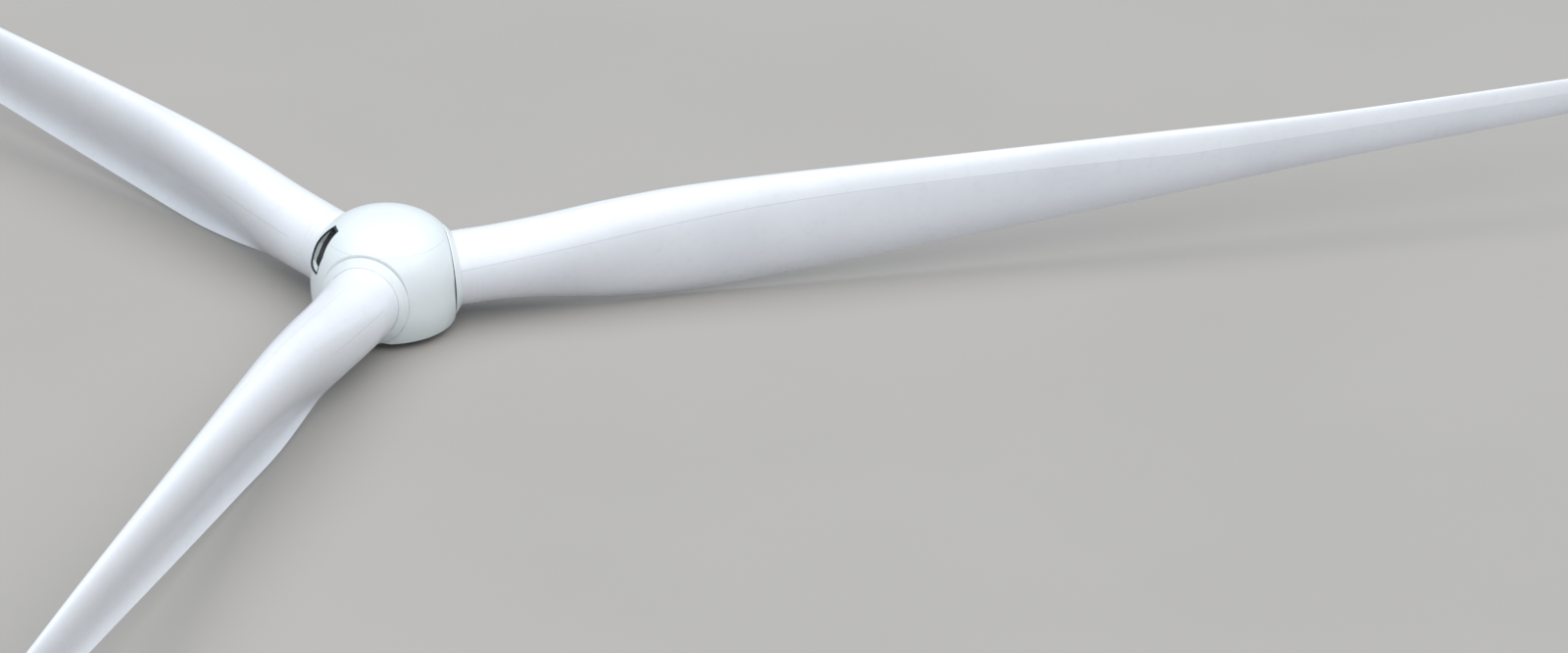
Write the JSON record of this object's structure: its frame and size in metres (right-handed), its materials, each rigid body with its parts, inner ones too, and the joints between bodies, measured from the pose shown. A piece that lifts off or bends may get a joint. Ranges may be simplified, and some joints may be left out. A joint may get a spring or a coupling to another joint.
{
  "type": "wind turbine rotor, 1:10 scale model",
  "caption": "Wind turbine rotor: hub under a rounded white cover with a lifting slot, and tapered blades that turn about their length to change pitch.",
  "frame": {"origin": "centre of the hub's flange face, where it bolts to the main shaft", "axes": "+Z along the rotor axis towards the nose, +X along blade b, blades a and c 120 and 240 degrees round from it"},
  "size_m": [7.9534, 9.08, 0.4951],
  "materials": {
    "cover_gelcoat": "semi-gloss",
    "blade_gelcoat": "semi-gloss",
    "collar_gelcoat": "semi-gloss",
    "cast_iron_painted": "painted",
    "bearing_steel": "machined",
    "drive_paint": "semi-matt paint",
    "bracket_steel": "semi-matt paint",
    "seal_rubber": "matt"
  },
  "bodies": {
    "hub": {"hub_casting": "cast_iron_painted", "shaft_flange": "cast_iron_painted", "nose_plate": "cast_iron_painted", "nose_frame": "bracket_steel", "lifting_lug": "bracket_steel", "slot_frame": "cover_gelcoat", "slot_seal": "seal_rubber", "nose_dome": "cover_gelcoat", "side_panel_1": "cover_gelcoat", "cover_stay_1": "bracket_steel", "side_panel_2": "cover_gelcoat", "cover_stay_2": "bracket_steel", "side_panel_3": "cover_gelcoat", "cover_stay_3": "bracket_steel", "bearing_outer_a": "bearing_steel", "pitch_drive_a": "drive_paint", "bearing_outer_b": "bearing_steel", "pitch_drive_b": "drive_paint", "bearing_outer_c": "bearing_steel", "pitch_drive_c": "drive_paint"},
    "blade_a": {"blade_shell_a": "blade_gelcoat", "root_collar_a": "collar_gelcoat", "bearing_inner_a": "bearing_steel"},
    "blade_b": {"blade_shell_b": "blade_gelcoat", "root_collar_b": "collar_gelcoat", "bearing_inner_b": "bearing_steel"},
    "blade_c": {"blade_shell_c": "blade_gelcoat", "root_collar_c": "collar_gelcoat", "bearing_inner_c": "bearing_steel"}
  },
  "joints": [
    {"name": "pitch_a", "type": "hinge", "parent": "hub", "child": "blade_a", "pos_m": [0, 0, 0.165], "axis": [-0.4992, 0.8646, 0.0576], "range_deg": [0, 95]},
    {"name": "pitch_b", "type": "hinge", "parent": "hub", "child": "blade_b", "pos_m": [0, 0, 0.165], "axis": [0.9983, 0, 0.0576], "range_deg": [0, 95]},
    {"name": "pitch_c", "type": "hinge", "parent": "hub", "child": "blade_c", "pos_m": [0, 0, 0.165], "axis": [-0.4992, -0.8646, 0.0576], "range_deg": [0, 95]}
  ]
}
